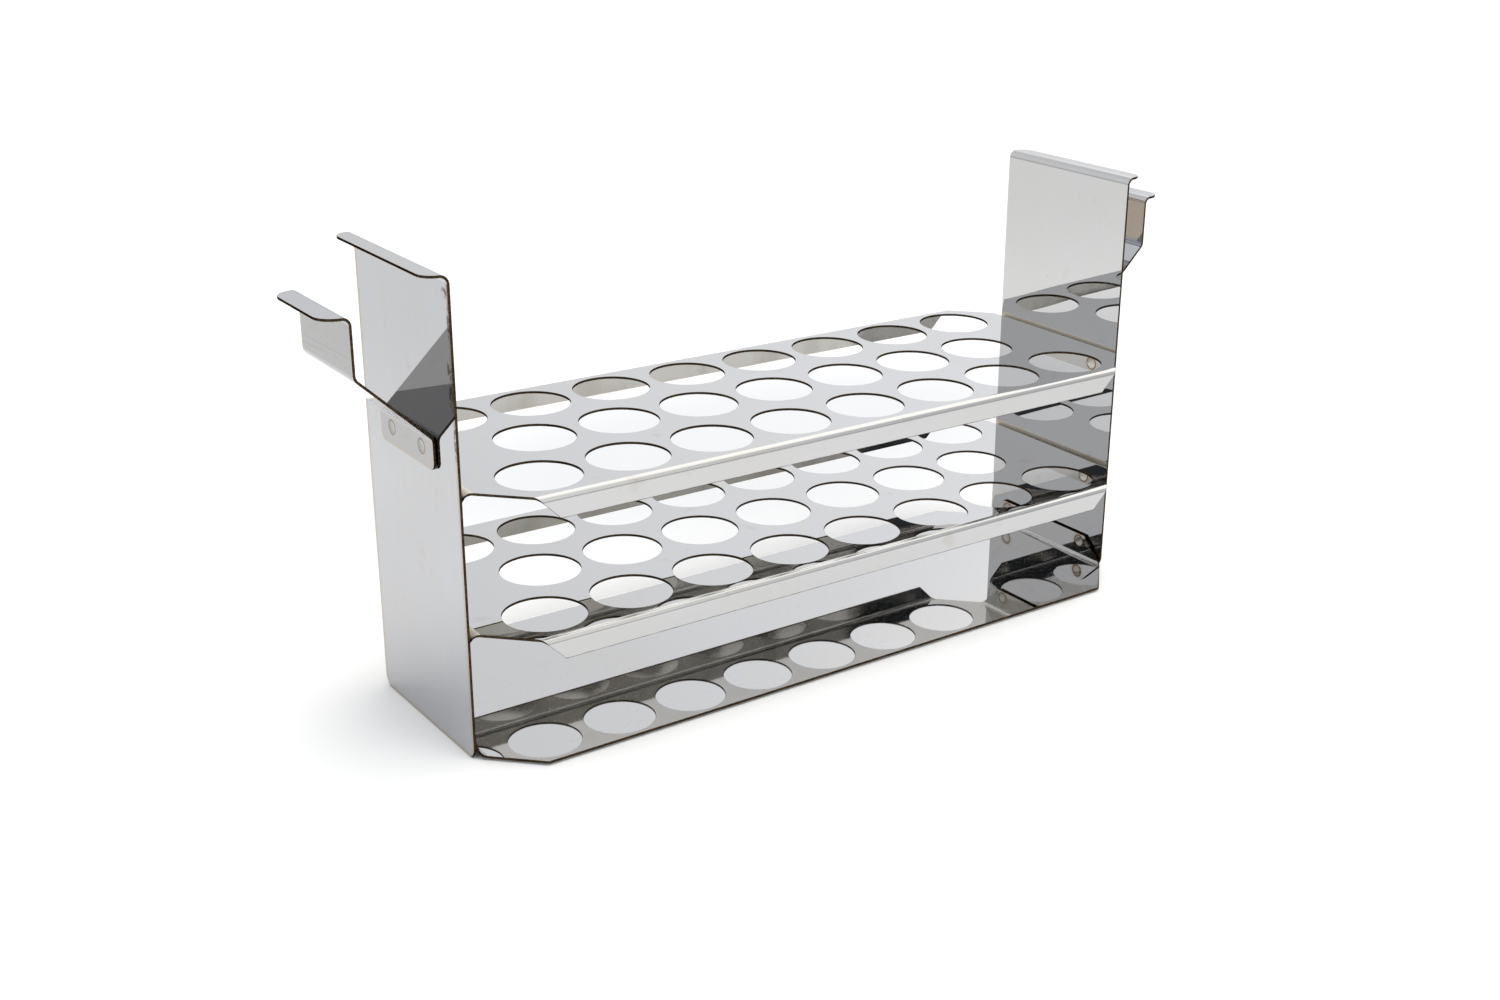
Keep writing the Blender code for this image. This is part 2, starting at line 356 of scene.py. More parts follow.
def build_bracket(name, side, materials):
    knee, lip = STRUT_FOLD + SHEET / 2, BRACKET_LIP_FOLD + SHEET / 2
    foot = BRACKET_LOW.z
    first, second, third, length = bracket_lengths()
    outline = lipped_outline(length, BRACKET_HIGH.y, BRACKET_FOOT_CORNER, BRACKET_LIP_CORNER)
    weld = weld_spot("right", "hook", "back")
    seats = weld_seats((weld.z - foot,), weld.y)
    folds = {(0, 1): [(first, STRUT_ANGLE, knee), (second, -STRUT_ANGLE, knee), (third, pi / 2, lip)]}
    folded_sheet(name, outline, seats, folds, upright(side, BRACKET_MIDDLE_X, foot), materials)


# ---------------------------------------------------------------- node helpers

SCALAR_RESULTS = ("LENGTH", "DISTANCE", "DOT_PRODUCT")


def new_material(name):
    material = bpy.data.materials.new(name)
    material.use_nodes = True
    return material, material.node_tree, material.node_tree.nodes["Principled BSDF"]


def add(tree, kind, settings=None, **inputs):
    """A node with its settings, and its inputs given as values or as sockets to link. The inputs go by name,
    or by number as i0, i1, i2."""
    node = tree.nodes.new(kind)
    for key, value in (settings or {}).items():
        setattr(node, key, value)
    for key, value in inputs.items():
        by_number = key[0] == "i" and key[1:].isdigit()
        socket = node.inputs[int(key[1:]) if by_number else key.replace("_", " ")]
        if isinstance(value, bpy.types.NodeSocket):
            tree.links.new(value, socket)
        else:
            socket.default_value = value
    return node


def maths(tree, operation, a, b=0.0, c=0.0):
    return add(tree, "ShaderNodeMath", {"operation": operation}, i0=a, i1=b, i2=c).outputs[0]


def vector_maths(tree, operation, a, b=(0.0, 0.0, 0.0)):
    node = add(tree, "ShaderNodeVectorMath", {"operation": operation}, i0=a, i1=b)
    return node.outputs["Value" if operation in SCALAR_RESULTS else "Vector"]


def scaled(tree, vector, factor):
    node = add(tree, "ShaderNodeVectorMath", {"operation": "SCALE"}, i0=vector, Scale=factor)
    return node.outputs["Vector"]


def component(tree, vector, number):
    """The x, y or z of a vector, by number."""
    return add(tree, "ShaderNodeSeparateXYZ", Vector=vector).outputs[number]


def attribute(tree, name, output):
    return add(tree, "ShaderNodeAttribute", {"attribute_name": name}).outputs[output]


def geometry(tree, output):
    return add(tree, "ShaderNodeNewGeometry").outputs[output]


def remap(tree, value, low, high, to_low=0.0, to_high=1.0):
    """A smooth step: to_low where the value is `low`, to_high where it is `high`."""
    node = add(tree, "ShaderNodeMapRange", {"interpolation_type": "SMOOTHSTEP"}, Value=value)
    for key, number in (("From Min", low), ("From Max", high), ("To Min", to_low), ("To Max", to_high)):
        node.inputs[key].default_value = number
    return node.outputs[0]


def noise(tree, vector, scale, detail=3.0, per_axis=(1.0, 1.0, 1.0), offset=(0.0, 0.0, 0.0)):
    moved = add(tree, "ShaderNodeMapping", Vector=vector, Scale=per_axis, Location=offset).outputs[0]
    return add(tree, "ShaderNodeTexNoise", Vector=moved, Scale=scale, Detail=detail).outputs[0]


def mix_colour(tree, factor, a, b, blend="MIX"):
    node = add(tree, "ShaderNodeMix", {"data_type": "RGBA", "blend_type": blend})
    for socket, value in ((node.inputs[0], factor), (node.inputs[6], a), (node.inputs[7], b)):
        if isinstance(value, bpy.types.NodeSocket):
            tree.links.new(value, socket)
        else:
            socket.default_value = value if isinstance(value, float) else (*value, 1.0)
    return node.outputs[2]


# ---------------------------------------------------------------- materials

# Steel as the different faces mirror it
STEEL = (0.526, 0.528, 0.533)
# Painted shade: a darker, cooler copy of the plates' steel for their outer faces, for the dim, cool floor
# they mirror
STEEL_SHADED_COOL = (0.446, 0.453, 0.475)
STEEL_WARM = (0.66, 0.56, 0.44)
STEEL_DULL = (0.46, 0.445, 0.43)
STEEL_BACK = (0.75, 0.735, 0.71)
STEEL_LIP = (0.475, 0.49, 0.515)
STEEL_BRACKET = (0.342, 0.344, 0.348)
STEEL_FLANGE_BACK = (0.415, 0.405, 0.385)
# Painted tan highlight laid over the shelves' tabs and their folds
TAB_TAN_HIGHLIGHT = (0.80, 0.74, 0.64)

# Grain, dirt and wear
GRAIN_GREY = (0.62, 0.62, 0.62)
CLOUD_TINT = (0.985, 0.97, 0.945)
STEEL_SMUDGED = (0.30, 0.285, 0.26)
STAIN = (0.36, 0.29, 0.22)
RUST = (0.22, 0.13, 0.075)
DARK_RUST = (0.11, 0.07, 0.045)
SCRATCH = (0.20, 0.19, 0.18)
DUST = (0.55, 0.53, 0.48)

# Bands along the faces' edges (the pale and tan bands are painted highlights of the rounded edges catching
# warm light), and the cut edge itself
PALE_EDGE_HIGHLIGHT = (0.47, 0.41, 0.33)
TAN_EDGE_HIGHLIGHT = (0.40, 0.34, 0.27)
# A dark line along the edges of the shelves' tops
DARK_EDGE_LINE = (0.10, 0.08, 0.06)
CUT_DARK = (0.022, 0.014, 0.008)
CUT_PALE = (0.075, 0.052, 0.03)
CUT_GLINT = (0.22, 0.17, 0.11, 1.0)

# Heat tint, and the faces of the welds
TINT_STRAW = (0.42, 0.33, 0.24)
TINT_RIM = (0.26, 0.21, 0.15)
TINT_BROWN = (0.22, 0.12, 0.06)
TAB_WELD_FACE = (0.50, 0.47, 0.43)
HOOK_WELD_FACE = (0.335, 0.33, 0.32)
WELD_RING_SHADE = 0.88

# Noises: features per metre, and factors on that along, across and through the blank where they differ
GRAIN_PER_AXIS = (40.0, 5000.0, 1.0)
CLOUD_SCALE = 14.0
BLOTCH_SCALE = 75.0
SPECK_SCALE = 1100.0
SMUDGE_SCALE = 70.0
SMUDGE_PER_AXIS = (1.0, 0.4, 1.0)
RAGGED_SCALE = 500.0
RUST_SCALE = 450.0
DUST_SCALE = 1900.0
TINT_SCALE = 600.0
CUT_PER_AXIS = (2500.0, 2500.0, 400.0)
WELD_SCALE = 900.0

# Where a noise starts and ends to show
BLOTCH_RANGE = (0.62, 0.80)
SPECK_RANGE = (0.73, 0.77)
DUST_RANGE = (0.69, 0.73)
GLOSS_RANGE = (0.3, 0.7)

# Smooth steps: from, to, result at from, result at to
CLOUD_STEP = (0.42, 0.75, 0.0, 1.0)
GRAIN_STEP = (0.35, 0.65, 0.0, 0.12)
SMUDGE_STEP = (0.42, 0.68, 0.0, 0.6)
RUST_STEP = (0.40, 0.52, 0.0, 1.0)
SPOT_STEP = (0.4, 1.0, 1.0, 0.0)
SCRATCH_STEP = (0.00005, 0.00016, 1.0, 0.0)
CLOUD_ROUGHNESS_STEP = (0.5, 0.8, 0.0, 0.01)
BEND_ROUGHNESS_STEP = (0.0, 0.8, 0.0, 0.15)
CUT_STEP = (0.35, 0.65, 0.0, 1.0)
CUT_ROUGHNESS_STEP = (0.3, 0.7, 0.35, 0.5)
WELD_ROUGHNESS_STEP = (0.3, 0.7, 0.12, 0.25)
WELD_RING_STEP = (0.0008, 0.0018, 0.0, 1.0)
WELD_RIM_STEP = (0.0018, 0.0022, 0.0, 1.0)

# How strongly the marks and roughenings show
SPECK_SHARE = 0.4
EDGE_SHARE = 0.75
SCRATCH_SHARE = 0.45
STRAW_SHARE = 0.7
GLOSS_SPREAD = 1.6
DUST_ROUGHNESS = 0.6

# Widths over which one finish blends into the next
STRETCH_BLEND = 0.002
FLANGE_BLEND = 0.001
TAB_BLEND = 0.0003

# Heat tint round a weld: how far the straw and the brown ring reach, and how much their edges wobble
STRAW_RING = (0.0024, 0.0040)
BROWN_RING = (0.0023, 0.0026)
TINT_WOBBLE = 0.0010
WELD_WOBBLE = 0.0005

# The bracket's edge band is worked out for a sheet of twice this length, longer than the bracket, so it runs
# along the sides and the foot but not along the lip's tip
BRACKET_BAND_HALF_LENGTH = 0.05

# Rust marks on the left plate's blank: (centre, reach), each (along, across)
LEFT_PLATE_MARKS = (
    ((0.1205, -0.0296), (0.0042, 0.0022)),
    ((0.1125, -0.0297), (0.0050, 0.0020)),
    ((0.1340, -0.0302), (0.0060, 0.0012)),
    ((0.1000, -0.0303), (0.0080, 0.0009)),
    ((0.1420, -0.0285), (0.0020, 0.0022)),
)

# Scratches on the left bracket's blank: (start, end), each (along, across)
LEFT_BRACKET_SCRATCHES = (
    ((0.0448, 0.0175), (0.0457, -0.0160)),
    ((0.0427, 0.0170), (0.0436, 0.0010)),
)

# Sheets that aren't quite flat: ((start, end, share), ...) along the blank, and the full tilt. The middle
# shelf's step ends before the blank starts, so the whole shelf leans.
MIDDLE_SHELF_LEAN = (((-1.0, -0.9, 1.0),), (0.0, 0.009, 0.0))
RIGHT_PLATE_LEAN = (((0.035, 0.055, 0.35), (0.089, 0.102, 0.65)), (0.0, -0.0185, -0.0145))


def edge_distance(tree, blank, outline):
    """Distance along the sheet to the nearest straight edge of its outline, which is given as (centre x, half
    length, half width)."""
    centre, half_length, half_width = outline
    from_centre = maths(tree, "ABSOLUTE", maths(tree, "SUBTRACT", component(tree, blank, 0), centre))
    to_end = maths(tree, "SUBTRACT", half_length, from_centre)
    to_side = maths(tree, "SUBTRACT", half_width, maths(tree, "ABSOLUTE", component(tree, blank, 1)))
    return maths(tree, "MINIMUM", to_end, to_side)


def spot(tree, blank, centre, reach):
    """1 at a place on the blank, fading to 0 at `reach` (along x, along y) from it."""
    away = vector_maths(tree, "SUBTRACT", blank, (*centre, 0.0))
    away = vector_maths(tree, "MULTIPLY", away, (1.0 / reach[0], 1.0 / reach[1], 0.0))
    return remap(tree, vector_maths(tree, "LENGTH", away), *SPOT_STEP)


def scratch(tree, blank, start, end):
    """1 along a hairline scratch between two places of the blank, 0 beside it."""
    start, end = Vector((*start, 0.0)), Vector((*end, 0.0))
    length = (end - start).length
    along = (end - start) / length
    away = vector_maths(tree, "SUBTRACT", blank, tuple(start))
    away = vector_maths(tree, "MULTIPLY", away, (1.0, 1.0, 0.0))
    done = vector_maths(tree, "DOT_PRODUCT", away, tuple(along))
    done = maths(tree, "MINIMUM", maths(tree, "MAXIMUM", done, 0.0), length)
    distance = vector_maths(tree, "DISTANCE", away, scaled(tree, tuple(along), done))
    return remap(tree, distance, *SCRATCH_STEP)


def tint_round_welds(tree, blank, colour, weld_at, strength):
    """Straw and brown rings round the four places (±x, ±y) of the blank where spot welds lie."""
    flat = vector_maths(tree, "MULTIPLY", vector_maths(tree, "ABSOLUTE", blank), (1.0, 1.0, 0.0))
    distance = vector_maths(tree, "DISTANCE", flat, (*weld_at, 0.0))
    wobble = noise(tree, blank, TINT_SCALE, 2.0)
    wobble = maths(tree, "MULTIPLY_ADD", wobble, TINT_WOBBLE, -TINT_WOBBLE / 2)
    distance = maths(tree, "ADD", distance, wobble)
    straw = remap(tree, distance, *STRAW_RING, STRAW_SHARE * strength, 0.0)
    colour = mix_colour(tree, straw, colour, TINT_STRAW)
    return mix_colour(tree, remap(tree, distance, *BROWN_RING, strength, 0.0), colour, TINT_BROWN)


def leaning_normal(tree, blank, steps, tilt):
    """The surface normal of a sheet that isn't quite flat. Each (start, end, share) step along the blank adds
    its share of the tilt. Only the shading leans: the sheet's shape stays flat."""
    x = component(tree, blank, 0)
    amount = 0.0
    for start, end, share in steps:
        amount = maths(tree, "ADD", remap(tree, x, start, end, 0.0, share), amount)
    normal = geometry(tree, "Normal")
    return vector_maths(tree, "NORMALIZE", vector_maths(tree, "ADD", normal, scaled(tree, tilt, amount)))


def stretch_of_colour(tree, blank, colour, stretch):
    """The colour, with another one over the (start, end, colour) stretch of the blank's length."""
    start, end, other = stretch
    x = component(tree, blank, 0)
    after_start = remap(tree, x, start, start + STRETCH_BLEND)
    before_end = remap(tree, x, end, end + STRETCH_BLEND, 1.0, 0.0)
    return mix_colour(tree, maths(tree, "MULTIPLY", after_start, before_end), colour, other)


def rolled_colour(tree, blank, colour, grain, cloud, offset, stains, speckle):
    """The colour with faint warm clouds, rolling grain, brown stains and dark specks."""
    colour = mix_colour(tree, remap(tree, cloud, *CLOUD_STEP), colour, CLOUD_TINT, "MULTIPLY")
    colour = mix_colour(tree, remap(tree, grain, *GRAIN_STEP), colour, GRAIN_GREY)
    blotch = noise(tree, blank, BLOTCH_SCALE, offset=offset)
    colour = mix_colour(tree, remap(tree, blotch, *BLOTCH_RANGE, 0.0, stains), colour, STAIN)
    specks = noise(tree, blank, SPECK_SCALE, 2.0, offset=offset)
    low, high = (limit - speckle for limit in SPECK_RANGE)
    return mix_colour(tree, remap(tree, specks, low, high, 0.0, SPECK_SHARE), colour, RUST)


def smudged_flanges(tree, blank, colour, distance, flange_colour):
    """The colour, with a smudged flange_colour within a flange's drop of the blank's edge."""
    smudges = noise(tree, blank, SMUDGE_SCALE, 4.0, SMUDGE_PER_AXIS)
    smudged = mix_colour(tree, remap(tree, smudges, *SMUDGE_STEP), flange_colour, STEEL_SMUDGED)
    on_flange = remap(tree, distance, FLANGE_DROP, FLANGE_DROP + FLANGE_BLEND, 1.0, 0.0)
    return mix_colour(tree, on_flange, colour, smudged)


def banded_edges(tree, blank, colour, distance, band, edge_colour):
    """The colour, with a ragged band of edge_colour along the edges of the blank. Pale and tan bands are
    painted highlights of the rounded edges.
    """
    ragged = maths(tree, "MULTIPLY_ADD", noise(tree, blank, RAGGED_SCALE), band, -band / 2)
    near = remap(tree, maths(tree, "ADD", distance, ragged), band * 0.5, band, EDGE_SHARE, 0.0)
    return mix_colour(tree, near, colour, edge_colour)


def sheet_steel(
    name, colour=STEEL, gloss=0.012, weld_at=None, weld_tint=0.5, outline=None, edge_band=0.0004,
    offset=(0.0, 0.0, 0.0), stains=0.3, dust=0.0, marks=(), flange_colour=None, edge_colour=PALE_EDGE_HIGHLIGHT,
    stretch_colour=None, speckle=0.0, lean=None, rough_highlit_tabs=0.0, scratches=(),
):
    """Polished stainless sheet: fine rolling grain along the blank, faint clouds and stains, dark specks, and
    hazier steel round the folds. What else is given is added: heat tint at weld_at, an edge band (a painted
    highlight where it is pale or tan) and flange_colour within the outline, rust marks, scratches, dust,
    rougher tabs with a painted tan highlight, another colour over one stretch, and a shading normal that
    leans."""
    material, tree, shader = new_material(name)
    blank = attribute(tree, "blank", "Vector")
    grain = noise(tree, blank, 1.0, per_axis=GRAIN_PER_AXIS, offset=offset)
    cloud = noise(tree, blank, CLOUD_SCALE, 4.0, offset=offset)
    if stretch_colour:
        colour = stretch_of_colour(tree, blank, colour, stretch_colour)
    colour = rolled_colour(tree, blank, colour, grain, cloud, offset, stains, speckle)
    if outline:
        distance = edge_distance(tree, blank, outline)
        if flange_colour:
            colour = smudged_flanges(tree, blank, colour, distance, flange_colour)
        colour = banded_edges(tree, blank, colour, distance, edge_band, edge_colour)
    if weld_at:
        colour = tint_round_welds(tree, blank, colour, weld_at, weld_tint)
    for centre, reach in marks:
        ragged = remap(tree, noise(tree, blank, RUST_SCALE, 4.0, offset=offset), *RUST_STEP)
        rusty = maths(tree, "MULTIPLY", spot(tree, blank, centre, reach), ragged)
        colour = mix_colour(tree, rusty, colour, DARK_RUST)
    for start, end in scratches:
        scratched = maths(tree, "MULTIPLY", scratch(tree, blank, start, end), SCRATCH_SHARE)
        colour = mix_colour(tree, scratched, colour, SCRATCH)

    roughness = remap(tree, grain, *GLOSS_RANGE, gloss, gloss * GLOSS_SPREAD)
    roughness = maths(tree, "ADD", roughness, remap(tree, cloud, *CLOUD_ROUGHNESS_STEP))
    bend = remap(tree, attribute(tree, "bend", "Fac"), *BEND_ROUGHNESS_STEP)
    roughness = maths(tree, "ADD", roughness, bend)
    if dust:
        grains = remap(tree, noise(tree, blank, DUST_SCALE, 2.0, offset=offset), *DUST_RANGE, 0.0, dust)
        colour = mix_colour(tree, grains, colour, DUST)
        roughness = maths(tree, "ADD", roughness, maths(tree, "MULTIPLY", grains, DUST_ROUGHNESS))
        tree.links.new(maths(tree, "SUBTRACT", 1.0, grains), shader.inputs["Metallic"])
    else:
        shader.inputs["Metallic"].default_value = 1.0
    # Rougher tabs, with a painted tan highlight over them
    if rough_highlit_tabs:
        from_middle = maths(tree, "ABSOLUTE", component(tree, blank, 0))
        on_tab = remap(tree, from_middle, SHELF_START_X - TAB_BLEND, SHELF_START_X + TAB_BLEND)
        roughness = maths(tree, "ADD", roughness, maths(tree, "MULTIPLY", on_tab, rough_highlit_tabs))
        colour = mix_colour(tree, on_tab, colour, TAB_TAN_HIGHLIGHT)

    bump = add(tree, "ShaderNodeBump", Height=grain, Strength=0.012, Distance=0.00001)
    if lean:
        tree.links.new(leaning_normal(tree, blank, *lean), bump.inputs["Normal"])
    tree.links.new(colour, shader.inputs["Base Color"])
    tree.links.new(roughness, shader.inputs["Roughness"])
    tree.links.new(bump.outputs[0], shader.inputs["Normal"])
    return material


def cut_edge_material():
    """Sheared edge: near black-brown, streaked through the sheet's thickness."""
    material, tree, shader = new_material("cut_edge")
    streaks = noise(tree, attribute(tree, "blank", "Vector"), 1.0, 2.0, CUT_PER_AXIS)
    colour = mix_colour(tree, remap(tree, streaks, *CUT_STEP), CUT_DARK, CUT_PALE)
    tree.links.new(colour, shader.inputs["Base Color"])
    tree.links.new(remap(tree, streaks, *CUT_ROUGHNESS_STEP), shader.inputs["Roughness"])
    shader.inputs["Metallic"].default_value = 1.0
    shader.inputs["Specular Tint"].default_value = CUT_GLINT
    return material


def weld_material(name, face, rim):
    """Spot weld: a dished steel face, a little darker towards its thin heat-tinted rim."""
    material, tree, shader = new_material(name)
    radial = attribute(tree, "radial", "Fac")
    mottle = noise(tree, geometry(tree, "Position"), WELD_SCALE)
    wobble = maths(tree, "MULTIPLY_ADD", mottle, WELD_WOBBLE, -WELD_WOBBLE / 2)
    distance = maths(tree, "ADD", radial, wobble)
    ring = [part * WELD_RING_SHADE for part in face]
    colour = mix_colour(tree, remap(tree, distance, *WELD_RING_STEP), face, ring)
    colour = mix_colour(tree, remap(tree, distance, *WELD_RIM_STEP), colour, rim)
    bump = add(tree, "ShaderNodeBump", Height=mottle, Strength=0.2, Distance=0.00004)
    tree.links.new(colour, shader.inputs["Base Color"])
    tree.links.new(remap(tree, mottle, *WELD_ROUGHNESS_STEP), shader.inputs["Roughness"])
    tree.links.new(bump.outputs[0], shader.inputs["Normal"])
    shader.inputs["Metallic"].default_value = 1.0
    return material


# ---------------------------------------------------------------- welds

# Half section of a weld's free face: (radius, height over the sheet's face)
WELD_PROFILE = (
    (0.0, -0.00012), (0.0006, -0.00011), (0.0012, -0.00008), (0.0016, -0.00003), (0.0019, 0.00002),
    (0.00205, 0.00003), (0.0022, 0.00001), (0.00229, -0.00003),
)
WELD_SIDES = 40
WELD_SHARP = radians(40)

# Share of the gap behind its sheet that a weld reaches across
WELD_GAP_FILL = 0.9


def weld_rings(work, profile, side, face, inward, centre):
    """Rings of vertices turned about the x axis through the centre, one for each (radius, height) of the
    profile."""
    rings = []
    for radius, lift in profile:
        x = side * (face + inward * lift)
        if radius == 0.0:
            rings.append([work.verts.new((x, centre.y, centre.z))])
            continue
        rings.append([
            work.verts.new((x, centre.y + radius * cos(angle), centre.z + radius * sin(angle)))
            for angle in (2 * pi * i / WELD_SIDES for i in range(WELD_SIDES))
        ])
    return rings


def distance_from_axis(vertex, centre):
    return ((vertex.co.y - centre.y) ** 2 + (vertex.co.z - centre.z) ** 2) ** 0.5


def build_weld(node, material):
    """A turned plug in the tab's or flange's seat, from its dished free face back to the end plate."""
    centre = mid(node)
    side = 1 if centre.x > 0 else -1
    if "_hook_" in node:
        face, inward = BRACKET_LOW.x + SHEET, 1
    else:
        face, inward = PLATE_INNER_X - GAP - SHEET, -1
    depth = SHEET + GAP * WELD_GAP_FILL
    profile = list(WELD_PROFILE) + [(WELD_PROFILE[-1][0], -depth), (0.0, -depth)]
    work = bmesh.new()
    rings = weld_rings(work, profile, side, face, inward, centre)
    for inner, outer in zip(rings, rings[1:]):
        for i in range(WELD_SIDES):
            j = (i + 1) % WELD_SIDES
            corners = (
                inner[i % len(inner)], outer[i % len(outer)], outer[j % len(outer)], inner[j % len(inner)],
            )
            work.faces.new(list(dict.fromkeys(corners)))
    bmesh.ops.recalc_face_normals(work, faces=work.faces)
    mesh = bpy.data.meshes.new(node)
    work.to_mesh(mesh)
    work.free()
    radial = mesh.attributes.new("radial", "FLOAT", "POINT")
    radial.data.foreach_set("value", [distance_from_axis(vertex, centre) for vertex in mesh.vertices])
    mesh.materials.append(material)
    mesh.shade_smooth()
    mesh.set_sharp_from_angle(angle=WELD_SHARP)
    add_piece(node, mesh)


# ---------------------------------------------------------------- studio

# Table top: tone near the rack and further off, and a soft painted shadow behind the rack
TABLE_HALF_WIDTH = 8.0
TABLE_NEAR = (0.93, 0.93, 0.93)
TABLE_FAR = (0.82, 0.82, 0.82)
TABLE_FADE_STEP = (0.2, 0.55, 0.0, 1.0)
TABLE_MOTTLE_SCALE = 3.0
TABLE_ROUGHNESS_STEP = (0.3, 0.7, 0.85, 0.95)
TABLE_PAINTED_SHADOW = (0.655, 0.665, 0.685)
PAINTED_SHADOW_AT = (0.10, 0.165, 0.0)
PAINTED_SHADOW_REACH = (0.34, 0.165, 1.0)
PAINTED_SHADOW_STEP = (0.25, 1.0, 1.0, 0.0)

# Room seen in the steel
BACKDROP_RIGHT = (1.21, 1.22, 1.25)
BACKDROP_LEFT = (0.985, 0.995, 1.015)
BACKDROP_GAP = (0.80, 0.81, 0.82)
BACKDROP_GAP_AT = (-0.31, 0.88, 0.36)
CEILING = (0.82, 0.82, 0.82)
BLACK = (0.0, 0.0, 0.0)
FRONT_ROOM = (1.22, 1.21, 1.16)
FRONT_CORNER = (0.80, 0.81, 0.82)
FRONT_TABLE = (0.48, 0.48, 0.48)
FRONT_LEFT = (0.13, 0.155, 0.18)
SOFTBOX = (1.9, 1.86, 1.77)
SOFTBOX_AT = (0.66, 0.18, 0.72)

# Degrees from its centre at which a round patch of the room ends and is full
BACKDROP_GAP_SPREAD = (12.0, 4.0)
SOFTBOX_SPREAD = (38.0, 20.0)

# How the room changes along x (left to right), y (front to back) and z (up) of the direction looked in
X_BACKDROP_STEP = (0.26, 0.70, 0.0, 1.0)
X_FRONT_STEP = (0.0, 0.25, 0.0, 1.0)
X_CORNER_STEP = (0.42, 0.62, 0.0, 1.0)
Y_BACKDROP_STEP = (-0.30, 0.10, 0.0, 1.0)
Z_DIM_STEP = (0.12, 0.34, 0.28, 0.0)
Z_CEILING_STEP = (0.60, 0.85, 0.0, 1.0)
Z_TABLE_STEP = (0.08, 0.22, 1.0, 0.0)

# Overhead lamp
LAMP_STRENGTH = 1.65
LAMP_SPREAD = radians(50)
LAMP_COLOUR = (1.0, 0.995, 0.985)
LAMP_HEADING = (0.10, 0.28, -1.0)


def build_floor():
    """White table top, wide enough to fill the view, with a soft painted shadow behind the rack."""
    half = TABLE_HALF_WIDTH
    corners = [(-half, -half, 0), (half, -half, 0), (half, half, 0), (-half, half, 0)]
    mesh = bpy.data.meshes.new("table_top")
    mesh.from_pydata(corners, [], [(0, 1, 2, 3)])
    floor = bpy.data.objects.new("table_top", mesh)
    bpy.context.scene.collection.objects.link(floor)
    material, tree, shader = new_material("white_table")
    position = geometry(tree, "Position")
    away = remap(tree, vector_maths(tree, "LENGTH", position), *TABLE_FADE_STEP)
    colour = mix_colour(tree, away, TABLE_NEAR, TABLE_FAR)
    # Painted shadow: a soft greyer ellipse of the table behind the rack
    from_shade = vector_maths(tree, "SUBTRACT", position, PAINTED_SHADOW_AT)
    from_shade = vector_maths(tree, "MULTIPLY", from_shade, tuple(1.0 / reach for reach in PAINTED_SHADOW_REACH))
    shade = remap(tree, vector_maths(tree, "LENGTH", from_shade), *PAINTED_SHADOW_STEP)
    tree.links.new(mix_colour(tree, shade, colour, TABLE_PAINTED_SHADOW), shader.inputs["Base Color"])
    mottle = noise(tree, position, TABLE_MOTTLE_SCALE, 2.0)
    tree.links.new(remap(tree, mottle, *TABLE_ROUGHNESS_STEP), shader.inputs["Roughness"])
    shader.inputs["Specular IOR Level"].default_value = 0.1
    mesh.materials.append(material)


def lobe(tree, direction, centre, outer, inner):
    """1 within `inner` degrees of the centre direction, 0 beyond `outer` degrees."""
    centre = Vector(centre).normalized()
    cosine = vector_maths(tree, "DOT_PRODUCT", direction, tuple(centre))
    return remap(tree, cosine, cos(radians(outer)), cos(radians(inner)))


def build_world():
    """Studio seen all round: a cool white backdrop behind, a pale room in front that is dark at its left, and
    a large warm softbox up to the right."""
    world = bpy.data.worlds.new("studio")
    bpy.context.scene.world = world
    world.use_nodes = True
    tree = world.node_tree
    direction = add(tree, "ShaderNodeTexCoord").outputs["Generated"]
    x, y, z = (component(tree, direction, number) for number in range(3))
    backdrop = mix_colour(tree, remap(tree, x, *X_BACKDROP_STEP), BACKDROP_LEFT, BACKDROP_RIGHT)
    backdrop = mix_colour(tree, remap(tree, z, *Z_DIM_STEP), backdrop, BLACK)
    gap = lobe(tree, direction, BACKDROP_GAP_AT, *BACKDROP_GAP_SPREAD)
    backdrop = mix_colour(tree, gap, backdrop, BACKDROP_GAP)
    backdrop = mix_colour(tree, remap(tree, z, *Z_CEILING_STEP), backdrop, CEILING)
    front = mix_colour(tree, remap(tree, x, *X_FRONT_STEP), FRONT_LEFT, FRONT_ROOM)
    front = mix_colour(tree, remap(tree, x, *X_CORNER_STEP), front, FRONT_CORNER)
    front = mix_colour(tree, remap(tree, z, *Z_TABLE_STEP), front, FRONT_TABLE)
    colour = mix_colour(tree, remap(tree, y, *Y_BACKDROP_STEP), front, backdrop)
    softbox = lobe(tree, direction, SOFTBOX_AT, *SOFTBOX_SPREAD)
    colour = mix_colour(tree, softbox, colour, SOFTBOX)
    background = tree.nodes["Background"]
    tree.links.new(colour, background.inputs["Color"])
    background.inputs["Strength"].default_value = 1.0


def add_overhead_light():
    """Broad lamp over the table. It isn't mirrored in the steel, which shows the studio round it instead."""
    light = bpy.data.lights.new("overhead", "SUN")
    light.angle = LAMP_SPREAD
    light.energy = LAMP_STRENGTH
    light.color = LAMP_COLOUR
    lamp = bpy.data.objects.new("overhead", light)
    lamp.rotation_mode = "QUATERNION"
    lamp.rotation_quaternion = Vector(LAMP_HEADING).to_track_quat("-Z", "Y")
    lamp.visible_glossy = False
    bpy.context.scene.collection.objects.link(lamp)


# ---------------------------------------------------------------- camera

# Where it stands, which way it looks and its roll, in radians
CAMERA_PLACE = (-0.33723, -0.47905, 0.26985)
CAMERA_AZIMUTH = -0.6621
CAMERA_ELEVATION = 0.3638
CAMERA_ROLL = 0.0243

# Field of view: the focal length and the optical centre in pixels of the image
IMAGE_WIDTH, IMAGE_HEIGHT = 1500, 1000
FOCAL_PIXELS = 1840.27
PRINCIPAL_POINT = (857.3, 497.0)
SENSOR_MM = 36.0
CLIP_START, CLIP_END = 0.01, 50.0


